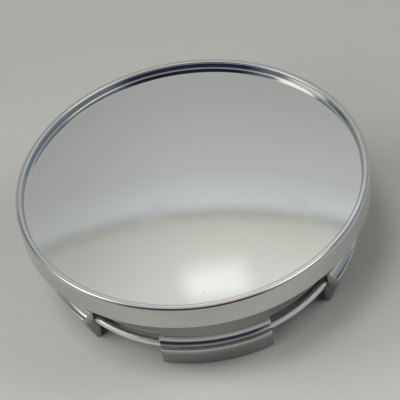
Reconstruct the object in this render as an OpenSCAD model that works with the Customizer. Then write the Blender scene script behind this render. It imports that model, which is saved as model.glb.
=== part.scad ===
// Snap-in wheel centre cap: a plated moulding held in the wheel's bore by five
// barbed clips, which an open ring of spring wire presses outwards from inside.
// It stands on its clip tips with the face up. Z = 0 is the plane of the tips,
// and one clip points towards -Y.

/* [Face] */
// Outside diameter of the cap
cap_d = 70; // [67:0.5:90]
// Depth of the flat face below the top of the lip
face_recess = 1.5; // [0.8:0.05:2.5]
// Thickness of the plate that carries the face
plate_t = 2.1; // [1.6:0.1:3.1]
// Width of the raised lip around the face
lip_w = 1.4; // [1.2:0.05:3]
// Draft of the lip's inner wall, in degrees
lip_draft = 4; // [0:1:15]
// Rounding of the lip's outer top edge
lip_outer_round = 0.8; // [0.1:0.05:1]
// Rounding of the lip's inner top edge
lip_inner_round = 0.35; // [0.1:0.05:0.6]

/* [Flange] */
// Height of the flange's outer wall
flange_h = 5.1; // [4.1:0.1:8]
// Width of the rim that seats against the wheel
seat_w = 2.4; // [1.5:0.1:2.8]

/* [Ring wall] */
// Clearance between the wire and the ring wall above it
ring_wall_gap = 1.95; // [0.7:0.05:6]
// Thickness of the ring wall
ring_wall_t = 1.2; // [0.8:0.1:1.6]
// How far the ring wall lies inside the clips' outer wall
ring_wall_inset = 0.95; // [0.3:0.05:1.2]

/* [Snap clips] */
// Number of clips around the cap
clip_count = 5; // [3:1:6]
// Width of a clip between its two straight sides
clip_w = 21.5; // [10:0.1:24]
// Height of a clip from the flange's seat to its tip
clip_h = 16.6; // [16.2:0.1:20]
// Diameter over the barbs
snap_d = 64; // [58:0.5:64]
// How far a barb stands out of its clip's wall
barb_reach = 1.9; // [1:0.1:2.4]
// Height of the barb's crest above the tip
barb_h = 6.3; // [5.4:0.1:6.6]
// Slope of the ledge behind the barb, in degrees
ledge_angle = 10; // [5:1:30]
// Straight part of the ledge between the cove and the crest
ledge_flat = 0.1; // [0.05:0.05:0.3]
// Rounding of the barb's crest
barb_round = 0.4; // [0.2:0.05:0.5]
// Thickness of a clip between the barb's crest and the wire's seat
barb_t = 2.25; // [2:0.05:2.6]
// How far the clip leans inwards below the wire
tip_lean = 0.85; // [0.3:0.05:1]
// Thickness of a clip at its tip
tip_t = 0.85; // [0.7:0.05:1.2]
// Rounding of the tip's edges
tip_round = 0.25; // [0.1:0.05:0.3]

/* [Spring wire] */
// Diameter of the spring wire
wire_d = 1.5; // [1:0.1:1.6]
// Height of the wire's centre below the barb's crest
wire_drop = 1.4; // [1.1:0.05:1.6]
// Clearance between the wire and its seat in the clips
wire_clearance = 0.1; // [0:0.05:0.3]
// Gap between the wire's two free ends
wire_gap = 5; // [2:0.5:12]

/* [Hidden] */

// Facets of a full turn, and chords of a rounded corner
turn_fn = 144;
corner_chords = 6;

// Heights, from the clip tips up
seat_z = clip_h;
top_z = seat_z + flange_h;
face_z = top_z - face_recess;
plate_z = face_z - plate_t;
wire_z = barb_h - wire_drop;
ring_wall_z = wire_z + wire_d / 2 + ring_wall_gap;

// Radii
cap_r = cap_d / 2;
lip_in_r = cap_r - lip_w;
lip_foot_r = lip_in_r - face_recess * tan(lip_draft);
barb_r = snap_d / 2;
clip_wall_r = barb_r - barb_reach;
ring_wall_r = clip_wall_r - ring_wall_inset;
ring_bore_r = ring_wall_r - ring_wall_t;
wire_seat_r = barb_r - barb_t;
tip_in_r = wire_seat_r - tip_lean;
wire_ring_r = wire_seat_r - wire_clearance - wire_d / 2;

// Small radii of the moulding
foot_fillet = 0.25;
edge_round = 0.2;
root_fillet = 0.5;
seat_fillet = 0.6;

// Direction of a vector, and the unit vector along it
function unit(v) = v / norm(v);
function direction(v) = atan2(v[1], v[0]);

// Turn from direction a to direction b by the shorter way, in degrees
function short_turn(a, b) = let (d = b - a) d > 180 ? d - 360 : d < -180 ? d + 360 : d;

// Arc of radius r that rounds the corner b of the outline a, b, c
function corner_arc(a, b, c, r) =
    let (
        to_a = unit(a - b),
        to_c = unit(c - b),
        half = acos(to_a * to_c) / 2,
        centre = b + unit(to_a + to_c) * r / sin(half),
        start = direction(b + to_a * r / tan(half) - centre),
        end = direction(b + to_c * r / tan(half) - centre),
        turn = short_turn(start, end)
    )
    [for (i = [0:corner_chords])
        let (at = start + turn * i / corner_chords)
        centre + r * [cos(at), sin(at)]];

// Outline through corners [radius, height, rounding], with each corner rounded
function rounded(corners) =
    let (n = len(corners), at = [for (p = corners) [p[0], p[1]]])
    [for (i = [0:n - 1])
        each corners[i][2] == 0 ? [at[i]]
            : corner_arc(at[(i + n - 1) % n], at[i], at[(i + 1) % n], corners[i][2])];

// Section of the face, lip, flange and ring wall
function plate_section() = rounded([
    [0, face_z, 0],
    [lip_foot_r, face_z, foot_fillet],
    [lip_in_r, top_z, lip_inner_round],
    [cap_r, top_z, lip_outer_round],
    [cap_r, seat_z, edge_round],
    [cap_r - seat_w, seat_z, edge_round],
    [cap_r - seat_w, plate_z, edge_round],
    [ring_wall_r, plate_z, root_fillet],
    [ring_wall_r, ring_wall_z, edge_round],
    [ring_bore_r, ring_wall_z, edge_round],
    [ring_bore_r, plate_z, root_fillet],
    [0, plate_z, 0]
]);

// Section of a clip: wall, cove, ledge, barb, bevel, tip and the wire's seat.
// The cove takes the whole ledge but for its straight part and the crest's rounding.
function clip_section() =
    let (
        crest = [barb_r, barb_h + barb_round / 2],
        tip = [tip_in_r + tip_t, 0],
        along_ledge = [-cos(ledge_angle), sin(ledge_angle)],
        ledge_z = crest[1] + barb_reach * tan(ledge_angle),
        crest_reach = barb_round / tan(acos(along_ledge * unit(tip - crest)) / 2),
        cove_reach = barb_reach / cos(ledge_angle) - crest_reach - ledge_flat,
        cove_r = cove_reach * tan(45 + ledge_angle / 2),
        root_z = (face_z + plate_z) / 2,
        lean_z = wire_z - wire_d,
        seat_low_z = wire_z - wire_d / 4
    )
    rounded([
        [clip_wall_r, root_z, 0],
        [clip_wall_r, ledge_z, cove_r],
        [crest[0], crest[1], barb_round],
        [tip[0], tip[1], tip_round],
        [tip_in_r, 0, tip_round],
        [tip_in_r, lean_z, 0],
        [wire_seat_r, seat_low_z, 0],
        [wire_seat_r, ring_wall_z, seat_fillet],
        [ring_bore_r, ring_wall_z, edge_round],
        [ring_bore_r, root_z, 0]
    ]);

module turned(outline) {
    rotate_extrude($fn = turn_fn)
        polygon(outline);
}

// One clip, cut out of a full turn of its section by its two straight sides
module clip() {
    intersection() {
        turned(clip_section());
        translate([-clip_w / 2, -cap_r, 0])
            cube([clip_w, cap_r, top_z]);
    }
}

module cap_body() {
    color("gainsboro")
        union() {
            turned(plate_section());
            for (i = [0:clip_count - 1])
                rotate(i * 360 / clip_count)
                    clip();
        }
}

// Open ring, with its free ends at the back between two clips
module spring_wire() {
    gap_angle = 2 * asin(wire_gap / 2 / wire_ring_r);
    color("silver")
        rotate(90 + gap_angle / 2)
            rotate_extrude(angle = 360 - gap_angle, $fn = turn_fn)
                translate([wire_ring_r, wire_z])
                    circle(d = wire_d, $fn = 32);
}

cap_body();
spring_wire();
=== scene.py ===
"""Snap-in wheel centre cap on a studio floor: a plated moulding and its spring wire."""
import math

import bmesh
import bpy
from bpy.props import FloatProperty, FloatVectorProperty, IntProperty, PointerProperty
from mathutils import Matrix, Vector


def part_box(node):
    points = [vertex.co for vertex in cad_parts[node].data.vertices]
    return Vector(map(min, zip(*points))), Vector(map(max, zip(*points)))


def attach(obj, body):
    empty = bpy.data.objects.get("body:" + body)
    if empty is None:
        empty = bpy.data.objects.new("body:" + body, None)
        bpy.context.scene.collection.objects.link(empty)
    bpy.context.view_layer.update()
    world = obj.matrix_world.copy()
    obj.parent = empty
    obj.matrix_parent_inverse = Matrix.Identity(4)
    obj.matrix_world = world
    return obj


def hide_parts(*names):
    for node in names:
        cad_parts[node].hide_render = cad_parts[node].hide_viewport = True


bl_info = {
    "name": "Wheel Centre Cap",
    "version": (1, 0, 0),
    "blender": (4, 5, 0),
    "location": "View3D > Sidebar > Centre Cap",
    "description": "Models a plated snap-in wheel centre cap and its spring wire",
    "category": "Object",
}

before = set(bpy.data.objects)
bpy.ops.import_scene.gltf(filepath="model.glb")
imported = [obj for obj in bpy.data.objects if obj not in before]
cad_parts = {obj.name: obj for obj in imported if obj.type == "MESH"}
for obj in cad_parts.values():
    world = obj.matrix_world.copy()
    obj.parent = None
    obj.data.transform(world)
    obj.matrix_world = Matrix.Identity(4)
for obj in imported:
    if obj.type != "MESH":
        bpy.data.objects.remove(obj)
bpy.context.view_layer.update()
BODY_LOW, BODY_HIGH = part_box("cap_body")
WIRE_LOW, WIRE_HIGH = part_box("spring_wire")
MM = 0.001
# Distance from a rounded corner to the vertex that keeps the flat beside it flat
GUARD = 0.03 * MM
# How far a clip is sunk into the wall it grows out of
OVERLAP = 0.02 * MM
# How far below its root a clip's side edges are rounded from
BELOW_ROOT = 0.01 * MM
# Roundings between the face and the lip, of the flange's and ring wall's edges, and at the plate
FOOT_ROUND = 0.25 * MM
RIM_ROUND = 0.2 * MM
ROOT_ROUND = 0.5 * MM
# Roundings of a clip: at the tip, where it starts to lean, below the wire's seat and above it
TIP_ROUND = 0.25 * MM
LEAN_ROUND = 0.3 * MM
BEND_ROUND = 0.2 * MM
SEAT_ROUND = 0.6 * MM
# Rounding of the wire's ends
END_ROUND = 0.12 * MM
# Half of the turn that a clip is cut out of
CLIP_TURN = math.radians(24)
# Distance within which two vertices are one
SEAM = 1e-7
# Steps of a rounded corner in a section, of a clip's rounded edge and of the wire's rounded end
CORNER_STEPS = 8
EDGE_STEPS = 4
END_STEPS = 3
# Heights at which the painted shade below the flange starts and ends, and below which the tips get painted
# shade
SHADE_FOOT = (7.4 * MM, 8.3 * MM)
SHADE_TOP = (16.5 * MM, 16.3 * MM)
TIP_SHADE = (6.0 * MM, 4.6 * MM)
# How far the painted shade below the flange, the painted shade at the tips and a speck of dust go to the
# darker colour
PAINTED_SHADE_AMOUNT = 0.95
TIP_SHADE_SHARE = 0.8
SPECK_TINT = 0.25
# How far a stain on the wire goes to its darker colour, and the share of the wire's colour in that
STAIN_TINT = 0.2
STAIN_LEFT = 0.6
# How far the wire's drawn lines wander, in metres
LINE_DRIFT = 0.0004
# Height of the bumps in the metals and in the floor, in metres
FINE_BUMP = 1e-6
FLOOR_BUMP = 2e-5


def length(name, description, default):
    return FloatProperty(name=name, description=description, default=default,
                         subtype="DISTANCE", unit="LENGTH", precision=5)


def angle(name, description, degrees):
    return FloatProperty(name=name, description=description, default=math.radians(degrees),
                         subtype="ANGLE", unit="ROTATION")


def colour(name, description, default):
    return FloatVectorProperty(name=name, description=description, default=default,
                               size=3, subtype="COLOR", min=0.0, max=1.0)


def share(name, description, default):
    return FloatProperty(name=name, description=description, default=default,
                         subtype="FACTOR", min=0.0, max=1.0, precision=4)


class CapSizes(bpy.types.PropertyGroup):
    """Sizes of the moulding"""
    outer_radius: length("Outer radius", "Radius of the flange and lip", BODY_HIGH.x)
    top_height: length("Height", "Height of the lip above the clip tips", BODY_HIGH.z)
    face_recess: length("Face recess", "Depth of the face below the lip", 1.5 * MM)
    plate_thickness: length("Plate", "Thickness of the plate under the face", 2.1 * MM)
    lip_width: length("Lip width", "Width of the raised lip", 1.4 * MM)
    lip_outer_round: length("Lip outer rounding", "Rounding of the lip's outer edge", 0.8 * MM)
    lip_inner_round: length("Lip inner rounding", "Rounding of the lip's inner edge", 0.35 * MM)
    lip_draft: angle("Lip draft", "Draft of the lip's inner wall", 4)
    flange_height: length("Flange height", "Height of the flange's outer wall", 5.1 * MM)
    seat_width: length("Seat width", "Width of the rim that seats on the wheel", 2.4 * MM)
    ring_wall_radius: length("Ring wall radius", "Outer radius of the ring wall", 29.15 * MM)
    ring_wall_thickness: length("Ring wall", "Thickness of the ring wall", 1.2 * MM)
    ring_wall_foot: length("Ring wall foot", "Height of the ring wall's lower edge", 7.6 * MM)
    clip_count: IntProperty(name="Clips", description="Number of snap clips", default=5, min=3, max=6)
    clip_width: length("Clip width", "Width of a clip between its straight sides", 21.5 * MM)
    clip_wall_radius: length("Clip wall radius", "Outer radius of the clips' wall", 30.1 * MM)
    barb_radius: length("Barb radius", "Radius over the barbs", 32 * MM)
    barb_height: length("Barb height", "Height of the barb's crest above the tip", 6.3 * MM)
    ledge_angle: angle("Ledge angle", "Slope of the ledge behind the barb", 10)
    cove_radius: length("Cove", "Radius of the cove above the ledge", 1.68 * MM)
    barb_round: length("Barb rounding", "Rounding of the barb's crest", 0.4 * MM)
    seat_radius: length("Wire seat radius", "Radius of the wire's seat in the clips", 29.75 * MM)
    tip_radius: length("Tip radius", "Inner radius of the clips' tips", 28.9 * MM)
    tip_thickness: length("Tip", "Thickness of a clip at its tip", 0.85 * MM)
    edge_round: length("Clip edge", "Rounding of a clip's side edges", 0.24 * MM)
    steps: IntProperty(name="Steps", description="Steps of a full turn", default=360, min=60)


class WireSizes(bpy.types.PropertyGroup):
    """Sizes of the spring wire"""
    ring_radius: length("Ring radius", "Radius of the ring at the wire's centre", 28.9 * MM)
    thickness: length("Thickness", "Diameter of the wire", 1.5 * MM)
    height: length("Height", "Height of the wire's centre", (WIRE_HIGH.z + WIRE_LOW.z) / 2)
    gap: length("Gap", "Gap between the wire's free ends", 5 * MM)
    sides: IntProperty(name="Sides", description="Sides of the wire's section", default=32, min=8)
    steps: IntProperty(name="Steps", description="Steps along the wire", default=360, min=60)


class Finishes(bpy.types.PropertyGroup):
    """Colours and textures of the metal"""
    chrome: colour("Chrome", "Colour of the plating", (0.60, 0.60, 0.592))
    chrome_roughness: share("Chrome roughness", "Roughness of the plating", 0.03)
    haze: share("Haze", "Roughness that haze adds to the plating", 0.02)
    wipes: share("Wipe marks", "Roughness that wipe marks add to the plating", 0.01)
    dust: share("Dust", "Roughness that specks of dust add to the plating", 0.12)
    # Darker colour, as a share of the plating's, that the painted shade below the flange and at the tips
    # goes to; specks of dust go part way to it too
    painted_shade: share("Recess", "Share of the plating's colour that is left in its recess", 0.42)
    wire: colour("Wire", "Colour of the drawn wire", (0.84, 0.845, 0.80))
    wire_roughness: share("Wire roughness", "Roughness of the drawn wire", 0.2)
    wire_metallic: share("Wire metallic", "How metallic the drawn wire looks", 0.8)
    lines: share("Drawn lines", "Roughness that the drawn lines add to the wire", 0.14)
    stains: share("Stains", "Roughness that stains add to the wire", 0.12)


class StageSettings(bpy.types.PropertyGroup):
    """Floor, light and camera"""
    floor: colour("Floor", "Colour of the floor", (0.742, 0.742, 0.705))
    light: FloatProperty(name="Light", description="Strength of the lamps, as a multiple",
                         default=1.0, min=0.0)
    camera_distance: length("Camera distance", "From the lip's centre to the camera", 350 * MM)
    camera_elevation: angle("Elevation", "Camera's angle above the floor", 43.81)
    camera_azimuth: angle("Azimuth", "Camera's turn from the front clip", 1.05)
    camera_roll: angle("Roll", "Camera's turn about its own axis", 9.85)
    camera_lens: FloatProperty(name="Lens", description="Focal length of the camera in mm", default=160.72)
    shift_right: FloatProperty(name="Shift right", description="Sideways shift of the frame", default=0.0231)
    shift_up: FloatProperty(name="Shift up", description="Upward shift of the frame", default=-0.0623)


class CentreCap(bpy.types.PropertyGroup):
    """Everything that a user of the cap may set"""
    cap: PointerProperty(type=CapSizes)
    wire: PointerProperty(type=WireSizes)
    finish: PointerProperty(type=Finishes)
    stage: PointerProperty(type=StageSettings)


class Socket:
    """A shader socket that takes part in Python expressions"""

    def __init__(self, shader, socket):
        self.shader, self.socket = shader, socket

    def __add__(self, other):
        return self.shader.math("ADD", self, other)

    def __sub__(self, other):
        return self.shader.math("SUBTRACT", self, other)

    def __rsub__(self, other):
        return self.shader.math("SUBTRACT", other, self)

    def __mul__(self, other):
        return self.shader.math("MULTIPLY", self, other)

    __radd__, __rmul__ = __add__, __mul__

    def step(self, low, high):
        """0 below low, 1 above high and smooth between them"""
        return self.shader.node("ShaderNodeMapRange", {"interpolation_type": "SMOOTHSTEP"},
                                {"Value": self, "From Min": low, "From Max": high})


class Shader:
    """A node tree and the methods that add nodes to it"""

    def __init__(self, tree):
        self.tree = tree
        tree.nodes.clear()

    def node(self, kind, settings=None, sockets=None, out=0):
        made = self.tree.nodes.new(kind)
        for name, value in (settings or {}).items():
            if name == "stops":
                ramp = made.color_ramp
                while len(ramp.elements) < len(value):
                    ramp.elements.new(1.0)
                for element, (position, tone) in zip(ramp.elements, value):
                    element.position, element.color = position, (*tone, 1.0)
            else:
                setattr(made, name, value)
        for name, value in (sockets or {}).items():
            if isinstance(value, Socket):
                self.tree.links.new(value.socket, made.inputs[name])
            else:
                made.inputs[name].default_value = value
        return Socket(self, made.outputs[out])

    def finish(self, surface, kind="Material"):
        output = self.tree.nodes.new(f"ShaderNodeOutput{kind}")
        self.tree.links.new(surface.socket, output.inputs["Surface"])

    def math(self, operation, first, second=0.0):
        return self.node("ShaderNodeMath", {"operation": operation}, {0: first, 1: second})

    def ramp(self, height, stops):
        """Display tones over elevations in degrees, as linear colours over 0 to 1"""
        stops = [(elevation / 90, tone(*shade)) for elevation, shade in stops]
        return self.node("ShaderNodeValToRGB", {"stops": stops}, {"Fac": height})

    def facing(self, vector, centre, outer, inner):
        """1 within an angle of a direction, falling to 0 at the outer angle, in degrees"""
        aligned = self.node("ShaderNodeVectorMath", {"operation": "DOT_PRODUCT"},
                            {0: vector, 1: centre}, out=1)
        return aligned.step(math.cos(math.radians(outer)), math.cos(math.radians(inner)))

    def axes(self, vector):
        parts = self.node("ShaderNodeSeparateXYZ", {}, {"Vector": vector})
        return [Socket(self, output) for output in parts.socket.node.outputs]

    def noise(self, vector, scale, detail=3.0):
        return self.node("ShaderNodeTexNoise", {"noise_dimensions": "3D"},
                         {"Vector": vector, "Scale": scale, "Detail": detail})

    def blend(self, amount, first, second):
        return self.node("ShaderNodeMix", {"data_type": "RGBA"}, {0: amount, 6: first, 7: second}, out=2)

    def bump(self, height, distance=FINE_BUMP, strength=1.0):
        return self.node("ShaderNodeBump", {},
                         {"Strength": strength, "Distance": distance, "Height": height})


def tinted(shade, left=1.0):
    """A colour at a share of its strength, with the alpha that a socket needs"""
    return (*[left * c for c in shade], 1.0)


def metal(name, surface_sockets):
    """Metal material; surface_sockets(shader, place) gives the sockets of its surface"""
    material = bpy.data.materials.new(name)
    material.use_nodes = True
    shader = Shader(material.node_tree)
    place = shader.node("ShaderNodeTexCoord", out="Object")
    sockets = {"Metallic": 1.0, **surface_sockets(shader, place)}
    shader.finish(shader.node("ShaderNodeBsdfPrincipled", {}, sockets))
    return material


def chrome_surface(shader, place):
    """Bright plating with a faint orange peel, haze, wipe marks and dust, and painted shade below the flange
    and at the tips
    """
    finish = settings().finish
    haze = shader.noise(place, scale=90.0, detail=4.0).step(0.48, 0.68)
    wipes = shader.noise(place, scale=700.0, detail=2.0).step(0.5, 0.75)
    specks = shader.noise(place, scale=2600.0, detail=0.0).step(0.885, 0.9)
    wave = shader.noise(place, scale=60.0, detail=1.0)
    peel = shader.noise(place, scale=300.0, detail=1.0)
    grain = shader.noise(place, scale=5200.0, detail=2.0)
    roughness = finish.chrome_roughness + finish.haze * haze + finish.wipes * wipes + finish.dust * specks
    z = shader.axes(place)[2]
    # Painted shade: the plating darker below the flange and at the clips' tips, by height; specks of dust
    # are its own darker marks
    painted_shade = z.step(*SHADE_FOOT) * z.step(*SHADE_TOP) + z.step(*TIP_SHADE) * TIP_SHADE_SHARE
    dust_and_painted_shade = specks * SPECK_TINT + painted_shade * PAINTED_SHADE_AMOUNT
    tint = shader.blend(dust_and_painted_shade, tinted(finish.chrome), tinted(finish.chrome, finish.painted_shade))
    bump = shader.bump(wave * 4.0 + peel * 0.5 + grain * 0.02)
    return {"Base Color": tint, "Roughness": roughness, "Normal": bump}


def wire_surface(shader, place):
    """Drawn steel with fine lines along the wire"""
    finish = settings().finish
    x, y, z = shader.axes(place)
    radius = shader.math("SQRT", x * x + y * y)
    drift = shader.noise(place, scale=40.0) * LINE_DRIFT
    across = shader.node("ShaderNodeCombineXYZ", {}, {"X": radius, "Y": z, "Z": drift})
    lines = shader.noise(across, scale=9000.0, detail=3.0)
    stains = shader.noise(place, scale=160.0, detail=2.0).step(0.5, 0.75)
    roughness = finish.wire_roughness + finish.lines * lines + finish.stains * stains
    tint = shader.blend(stains * STAIN_TINT, tinted(finish.wire), tinted(finish.wire, STAIN_LEFT))
    return {"Base Color": tint, "Roughness": roughness, "Normal": shader.bump(lines),
            "Metallic": finish.wire_metallic}


def outline(bm, corners, closed):
    """Edges through corners (radius, height, rounding) in the XZ plane, with rounded corners"""
    places = [Vector((r, 0.0, z)) for r, z, _ in corners]
    path = []
    for i, (place, (_, _, rounding)) in enumerate(zip(places, corners)):
        if rounding == 0:
            path.append((place, 0.0))
            continue
        before = (places[i - 1] - place).normalized()
        after = (places[(i + 1) % len(places)] - place).normalized()
        reach = rounding / math.tan(before.angle(after) / 2)
        kept = reach + GUARD
        path += [(place + before * kept, 0.0), (place, reach), (place + after * kept, 0.0)]
    verts = [bm.verts.new(place) for place, _ in path]
    for a, b in zip(verts, verts[1:] + verts[:1] if closed else verts[1:]):
        bm.edges.new((a, b))
    for vert, (_, reach) in zip(verts, path):
        if reach:
            bmesh.ops.bevel(bm, geom=[vert], offset=reach, offset_type="OFFSET", affect="VERTICES",
                            segments=CORNER_STEPS, profile=0.5, material=-1)


def close(bm):
    """Joins the seams and turns every face outwards"""
    bmesh.ops.remove_doubles(bm, verts=bm.verts, dist=SEAM)
    bmesh.ops.recalc_face_normals(bm, faces=bm.faces)


def piece(name, bm):
    """A new object with the bmesh as its mesh"""
    mesh = bpy.data.meshes.new(name)
    bm.to_mesh(mesh)
    bm.free()
    made = bpy.data.objects.new(name, mesh)
    bpy.context.scene.collection.objects.link(made)
    return made


def dress(made, material, node, sharp=40):
    """Gives a piece its material and shading, in place of a CAD node"""
    made.data.materials.clear()
    made.data.materials.append(material)
    made.data.shade_smooth()
    made.data.set_sharp_from_angle(angle=math.radians(sharp))
    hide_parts(node)
    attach(made, "root")


def settings():
    return bpy.context.scene.centre_cap


def plate_mesh(cap):
    """Face, lip, flange and ring wall, turned about the axis"""
    top = cap.top_height
    face = top - cap.face_recess
    under = face - cap.plate_thickness
    seat = top - cap.flange_height
    rim = cap.outer_radius - cap.lip_width
    bore = cap.ring_wall_radius - cap.ring_wall_thickness
    inside = cap.outer_radius - cap.seat_width
    bm = bmesh.new()
    outline(bm, [
        (0.0, face, 0.0),
        (rim - cap.face_recess * math.tan(cap.lip_draft), face, FOOT_ROUND),
        (rim, top, cap.lip_inner_round),
        (cap.outer_radius, top, cap.lip_outer_round),
        (cap.outer_radius, seat, RIM_ROUND),
        (inside, seat, RIM_ROUND),
        (inside, under, RIM_ROUND),
        (cap.ring_wall_radius, under, ROOT_ROUND),
        (cap.ring_wall_radius, cap.ring_wall_foot, RIM_ROUND),
        (bore, cap.ring_wall_foot, RIM_ROUND),
        (bore, under, ROOT_ROUND),
        (0.0, under, 0.0),
    ], closed=False)
    bmesh.ops.spin(bm, geom=bm.verts[:] + bm.edges[:], cent=(0, 0, 0), axis=(0, 0, 1),
                   angle=2 * math.pi, steps=cap.steps, use_merge=True)
    close(bm)
    return bm


def clip_mesh(cap, wire):
    """One snap clip towards -Y, cut from a turned section by its two straight sides"""
    crest = cap.barb_height + cap.barb_round / 2
    ledge = crest + (cap.barb_radius - cap.clip_wall_radius) * math.tan(cap.ledge_angle)
    root = cap.top_height - cap.face_recess - cap.plate_thickness / 2
    sunk = cap.ring_wall_radius - cap.ring_wall_thickness + OVERLAP
    shelf = cap.ring_wall_foot - OVERLAP
    steps = round(cap.steps * CLIP_TURN / math.pi)
    bm = bmesh.new()
    outline(bm, [
        (cap.clip_wall_radius, root, 0.0),
        (cap.clip_wall_radius, ledge, cap.cove_radius),
        (cap.barb_radius, crest, cap.barb_round),
        (cap.tip_radius + cap.tip_thickness, 0.0, TIP_ROUND),
        (cap.tip_radius, 0.0, TIP_ROUND),
        (cap.tip_radius, wire.height - wire.thickness, LEAN_ROUND),
        (cap.seat_radius, wire.height - wire.thickness / 4, BEND_ROUND),
        (cap.seat_radius, shelf, SEAT_ROUND),
        (sunk, shelf, RIM_ROUND),
        (sunk, root, 0.0),
    ], closed=True)
    bmesh.ops.rotate(bm, verts=bm.verts, cent=(0, 0, 0),
                     matrix=Matrix.Rotation(-math.pi / 2 - CLIP_TURN, 3, "Z"))
    bmesh.ops.spin(bm, geom=bm.verts[:] + bm.edges[:], cent=(0, 0, 0), axis=(0, 0, 1),
                   angle=2 * CLIP_TURN, steps=steps)
    for side in (-1, 1):
        cut = bmesh.ops.bisect_plane(bm, geom=bm.verts[:] + bm.edges[:] + bm.faces[:], dist=1e-8,
                                     plane_co=(side * cap.clip_width / 2, 0, 0), plane_no=(side, 0, 0),
                                     clear_outer=True)
        rim = [e for e in cut["geom_cut"] if isinstance(e, bmesh.types.BMEdge)]
        bmesh.ops.contextual_create(bm, geom=rim)
    close(bm)
    sides = [f for f in bm.faces if abs(f.normal.x) > 0.9999 and len(f.verts) > 20]
    edges = {e for f in sides for e in f.edges if max(v.co.z for v in e.verts) < root - BELOW_ROOT}
    bmesh.ops.bevel(bm, geom=list(edges), offset=cap.edge_round, offset_type="OFFSET", affect="EDGES",
                    segments=EDGE_STEPS, profile=0.5, material=-1, clamp_overlap=True)
    close(bm)
    return bm


class CENTRECAP_OT_moulding(bpy.types.Operator):
    """Model the plated moulding: face, lip, flange, ring wall and snap clips in one piece"""
    bl_idname = "centrecap.moulding"
    bl_label = "Moulding"

    def execute(self, context):
        cap, wire = settings().cap, settings().wire
        moulding = piece("plated_moulding", plate_mesh(cap))
        bm = clip_mesh(cap, wire)
        clip = bm.verts[:] + bm.edges[:] + bm.faces[:]
        for i in range(1, cap.clip_count):
            copy = bmesh.ops.duplicate(bm, geom=clip)["geom"]
            turned = [v for v in copy if isinstance(v, bmesh.types.BMVert)]
            bmesh.ops.rotate(bm, verts=turned, cent=(0, 0, 0),
                             matrix=Matrix.Rotation(i * 2 * math.pi / cap.clip_count, 3, "Z"))
        clips = piece("snap_clips", bm)
        union = moulding.modifiers.new("clips", "BOOLEAN")
        union.operation, union.solver, union.object = "UNION", "MANIFOLD", clips
        joined = bpy.data.meshes.new_from_object(moulding.evaluated_get(context.evaluated_depsgraph_get()))
        moulding.modifiers.clear()
        moulding.data = joined
        bpy.data.objects.remove(clips)
        dress(moulding, metal("Chrome plating", chrome_surface), "cap_body")
        return {"FINISHED"}


class CENTRECAP_OT_wire(bpy.types.Operator):
    """Model the open ring of spring wire that sits behind the barbs"""
    bl_idname = "centrecap.wire"
    bl_label = "Spring wire"

    def execute(self, context):
        wire = settings().wire
        half_gap = math.asin(wire.gap / 2 / wire.ring_radius)
        bm = bmesh.new()
        bmesh.ops.create_circle(bm, segments=wire.sides, radius=wire.thickness / 2, cap_ends=True,
                                matrix=Matrix.Rotation(math.pi / 2, 4, "X"))
        bmesh.ops.translate(bm, verts=bm.verts, vec=(wire.ring_radius, 0, wire.height))
        bmesh.ops.rotate(bm, verts=bm.verts, cent=(0, 0, 0),
                         matrix=Matrix.Rotation(math.pi / 2 + half_gap, 3, "Z"))
        bmesh.ops.spin(bm, geom=bm.faces[:], cent=(0, 0, 0), axis=(0, 0, 1),
                       angle=2 * math.pi - 2 * half_gap, steps=wire.steps)
        close(bm)
        rims = [e for f in bm.faces if len(f.verts) > 4 for e in f.edges]
        bmesh.ops.bevel(bm, geom=rims, offset=END_ROUND, offset_type="OFFSET",
                        affect="EDGES", segments=END_STEPS, profile=0.5, material=-1)
        close(bm)
        dress(piece("sprung_wire_ring", bm), metal("Drawn spring steel", wire_surface), "spring_wire")
        return {"FINISHED"}


def tone(red, green, blue):
    """Linear colour of a display tone from 0 to 255"""
    shares = [c / 255 for c in (red, green, blue)]
    return tuple(c / 12.92 if c < 10 / 255 else ((c + 0.055) / 1.055) ** 2.4 for c in shares)


# The room's display tones over elevations in degrees, behind the cap, beside it and before it
BEHIND = (
    (0, (140, 140, 136)), (30, (145, 147, 145)), (41, (158, 160, 158)), (43.6, (174, 177, 177)),
    (44.85, (196, 200, 204)), (44.98, (156, 157, 152)), (45.16, (160, 160, 154)), (45.36, (186, 187, 180)),
    (46.4, (199, 200, 194)), (47.2, (208, 209, 205)), (54, (196, 197, 195)), (62, (184, 185, 184)),
    (90, (180, 181, 180)),
)
BESIDE = (
    (0, (160, 160, 155)), (14, (140, 143, 145)), (20, (124, 131, 138)), (34, (120, 128, 136)),
    (50, (116, 124, 132)), (60, (150, 154, 156)), (74, (176, 177, 176)), (90, (180, 181, 180)),
)
BEFORE = (
    (0, (160, 160, 155)), (12, (150, 149, 144)), (18, (108, 110, 114)), (24, (44, 56, 80)),
    (33, (34, 46, 74)), (42, (30, 34, 50)), (49, (40, 40, 52)), (54, (68, 62, 62)), (61, (94, 88, 84)),
    (68, (124, 114, 106)), (76, (160, 154, 148)), (84, (180, 179, 176)), (90, (180, 181, 180)),
)
# The band behind the cap: where along X it stands highest, how it falls off from there, and its folds
BAND_X = -0.0494
BAND_FALL = 78.7 / 90
BAND_FALL_LIMIT = 0.02
BAND_FOLDS = 0.004
# Colour of the dimmer left half behind the cap
DIM = (0.25, 0.255, 0.25)
# Patches of the room: direction, outer and inner angle in degrees, amount and display tone
CORNER = ((-0.66, 0.56, 0.5), 13, 6, 1.0, (75, 84, 88))
AMBER = ((0.10, -0.24, 0.965), 11, 4, 0.85, (214, 136, 72))
WINDOW_TONE = (250, 246, 235)
PANEL_TONE = (255, 250, 238)
# How much brighter than their tones the window, the panel and the glow behind the cap are
WINDOW_GAIN = 0.5
PANEL_GAIN = 0.3
GLOW_GAIN = 0.42
# Share of the room's strength that lights what isn't mirrored in the plating
MATTE_SHARE = 0.24
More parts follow.
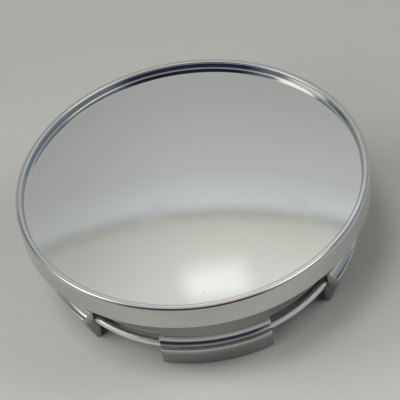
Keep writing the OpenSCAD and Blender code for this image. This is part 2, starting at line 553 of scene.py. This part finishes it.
# Painted shade on the floor: stretches along Y over which it gets darker, in metres, and by how much; behind
# the cap for light falling off, before it where the plating mirrors the floor
PAINTED_FLOOR_SHADE = ((-0.02, 0.08, 0.8), (-0.043, -0.058, 0.45))
# Share of the floor's colour where its grain and painted shade darken it most, and how much fibres and
# clouds darken it
FLOOR_LEFT = 0.7
FLOOR_GRAIN = 0.10
# Soft lamps: name, turn from +X, rise above the floor and width, in degrees, and strength
LAMPS = (
    ("Overhead lamp", 200, 78, 20, 0.567),
    ("Left lamp", 170, 36, 36, 0.943),
    ("Right lamp", 0, 36, 36, 0.742),
    ("Front left lamp", 210, 24, 36, 0.890),
)


class CENTRECAP_OT_stage(bpy.types.Operator):
    """Set the pale floor, the studio light and the camera"""
    bl_idname = "centrecap.stage"
    bl_label = "Stage"

    def execute(self, context):
        stage, cap = settings().stage, settings().cap
        self.floor(stage)
        self.studio(context.scene)
        for name, turn, rise, spread, strength in LAMPS:
            self.lamp(context.scene, name, turn, rise, spread, strength * stage.light)
        self.camera(context.scene, stage, cap)
        return {"FINISHED"}

    def floor(self, stage):
        bm = bmesh.new()
        bmesh.ops.create_grid(bm, x_segments=1, y_segments=1, size=3.0)
        floor = piece("studio_floor", bm)
        material = bpy.data.materials.new("Pale paper")
        material.use_nodes = True
        shader = Shader(material.node_tree)
        place = shader.node("ShaderNodeTexCoord", out="Object")
        fibres = shader.noise(place, scale=1400.0, detail=3.0)
        clouds = shader.noise(place, scale=14.0, detail=2.0)
        y = shader.axes(place)[1]
        # Painted shade: the floor darker far behind the cap and before it, on top of its own grain of fibres
        # and clouds
        far, near = [y.step(start, end) * amount for start, end, amount in PAINTED_FLOOR_SHADE]
        grain_and_painted_shade = fibres * FLOOR_GRAIN + clouds * FLOOR_GRAIN + (far + near)
        tint = shader.blend(grain_and_painted_shade, tinted(stage.floor), tinted(stage.floor, FLOOR_LEFT))
        shader.finish(shader.node("ShaderNodeBsdfPrincipled", {}, {
            "Base Color": tint, "Roughness": 0.75, "Specular IOR Level": 0.25,
            "Normal": shader.bump(fibres, FLOOR_BUMP, 0.3)}))
        floor.data.materials.append(material)

    def studio(self, scene):
        """Room light by direction: soft and bright overhead, dark where the photographer stands"""
        world = bpy.data.worlds.new("Studio")
        scene.world = world
        world.use_nodes = True
        shader = Shader(world.node_tree)
        towards = shader.node("ShaderNodeTexCoord", out="Generated")
        x, y, z = shader.axes(towards)
        level = shader.node("ShaderNodeVectorMath", {"operation": "NORMALIZE"},
                            {0: shader.node("ShaderNodeCombineXYZ", {}, {"X": x, "Y": y})})
        level_x = shader.axes(level)[0]
        height = shader.math("ARCSINE", z) * (2 / math.pi)

        def rise(low, high):
            """0 below one elevation and 1 above the other, in degrees"""
            return height.step(low / 90, high / 90)

        aside = x - BAND_X
        fall = shader.math("MINIMUM", aside * aside, BAND_FALL_LIMIT) * BAND_FALL
        folded = shader.node("ShaderNodeCombineXYZ", {}, {"X": x * 5, "Y": y * 5, "Z": z * 60})
        folds = (shader.noise(folded, scale=1.0) - 0.5) * BAND_FOLDS
        behind = shader.ramp(height - fall + folds, BEHIND)
        dim = level_x.step(0.0, -0.16) * rise(76, 56) * 0.5
        behind = shader.blend(dim, behind, tinted(DIM))
        light = shader.blend(shader.facing(level, (0, 1, 0), 50, 30), shader.ramp(height, BESIDE), behind)
        front = shader.facing(level, (-0.17, -0.98, 0), 58, 36)
        light = shader.blend(front, light, shader.ramp(height, BEFORE))
        for centre, outer, inner, amount, shade in (CORNER, AMBER):
            patch = shader.facing(towards, centre, outer, inner) * amount
            light = shader.blend(patch, light, tinted(tone(*shade)))
        window = shader.facing(level, (-0.998, 0.07, 0), 22, 8) * rise(22, 46) * rise(70, 60)
        light = shader.blend(window, light, tinted(tone(*WINDOW_TONE)))
        panel = shader.facing(towards, (0.46, -0.06, 0.886), 16, 7)
        light = shader.blend(panel, light, tinted(tone(*PANEL_TONE)))
        glow = shader.facing(level, (-0.0125, 1, 0), 1.85, 0.0) * rise(46.3, 47.3) * rise(48.05, 47.45)
        gain = 1.0 + window * WINDOW_GAIN + panel * PANEL_GAIN + glow * GLOW_GAIN
        glossy = shader.node("ShaderNodeLightPath", out="Is Glossy Ray")
        bounces = shader.node("ShaderNodeLightPath", out="Diffuse Depth")
        mirrored = glossy * shader.math("LESS_THAN", bounces, 0.5)
        seen = MATTE_SHARE + mirrored * (1 - MATTE_SHARE)
        strength = gain * (1 / settings().finish.chrome[0]) * seen
        background = shader.node("ShaderNodeBackground", {}, {"Color": light, "Strength": strength})
        shader.finish(background, "World")

    def lamp(self, scene, name, turn, rise, spread, strength):
        """Soft lamp that lights the matte surfaces and isn't mirrored in the plating"""
        data = bpy.data.lights.new(name, "SUN")
        data.angle, data.energy = math.radians(spread), strength
        lamp = bpy.data.objects.new(name, data)
        scene.collection.objects.link(lamp)
        lamp.visible_glossy = False
        lamp.rotation_euler = (math.radians(90 - rise), 0.0, math.radians(90 + turn))

    def camera(self, scene, stage, cap):
        data = bpy.data.cameras.new("Camera")
        data.sensor_width, data.lens = 36.0, stage.camera_lens
        data.shift_x, data.shift_y = stage.shift_right, stage.shift_up
        data.clip_start, data.clip_end = 0.01, 20.0
        camera = bpy.data.objects.new("Camera", data)
        scene.collection.objects.link(camera)
        scene.camera = camera
        level, turn = stage.camera_elevation, stage.camera_azimuth
        back = Vector((math.sin(turn) * math.cos(level), -math.cos(turn) * math.cos(level),
                       math.sin(level)))
        right = Vector((math.cos(turn), math.sin(turn), 0.0))
        tilted = Matrix.Rotation(-stage.camera_roll, 3, back) @ right
        rotation = Matrix((tilted, back.cross(tilted), back)).transposed()
        place = Vector((0, 0, cap.top_height)) + back * stage.camera_distance
        camera.matrix_world = Matrix.Translation(place) @ rotation.to_4x4()


class CENTRECAP_PT_sidebar(bpy.types.Panel):
    """Sizes, finishes and steps of the cap"""
    bl_idname = "CENTRECAP_PT_sidebar"
    bl_label = "Centre Cap"
    bl_space_type = "VIEW_3D"
    bl_region_type = "UI"
    bl_category = "Centre Cap"

    def draw(self, context):
        for group in (settings().cap, settings().wire, settings().finish, settings().stage):
            box = self.layout.box()
            for name in group.__annotations__:
                box.prop(group, name)
        for operator in OPERATORS:
            self.layout.operator(operator.bl_idname)


OPERATORS = (CENTRECAP_OT_moulding, CENTRECAP_OT_wire, CENTRECAP_OT_stage)
CLASSES = (CapSizes, WireSizes, Finishes, StageSettings, CentreCap, *OPERATORS, CENTRECAP_PT_sidebar)


def register():
    for cls in CLASSES:
        bpy.utils.register_class(cls)
    bpy.types.Scene.centre_cap = PointerProperty(type=CentreCap)


def unregister():
    del bpy.types.Scene.centre_cap
    for cls in reversed(CLASSES):
        bpy.utils.unregister_class(cls)


def main():
    register()
    bpy.context.scene.view_settings.view_transform = "Standard"
    bpy.ops.centrecap.moulding()
    bpy.ops.centrecap.wire()
    bpy.ops.centrecap.stage()


if __name__ == "__main__":
    main()
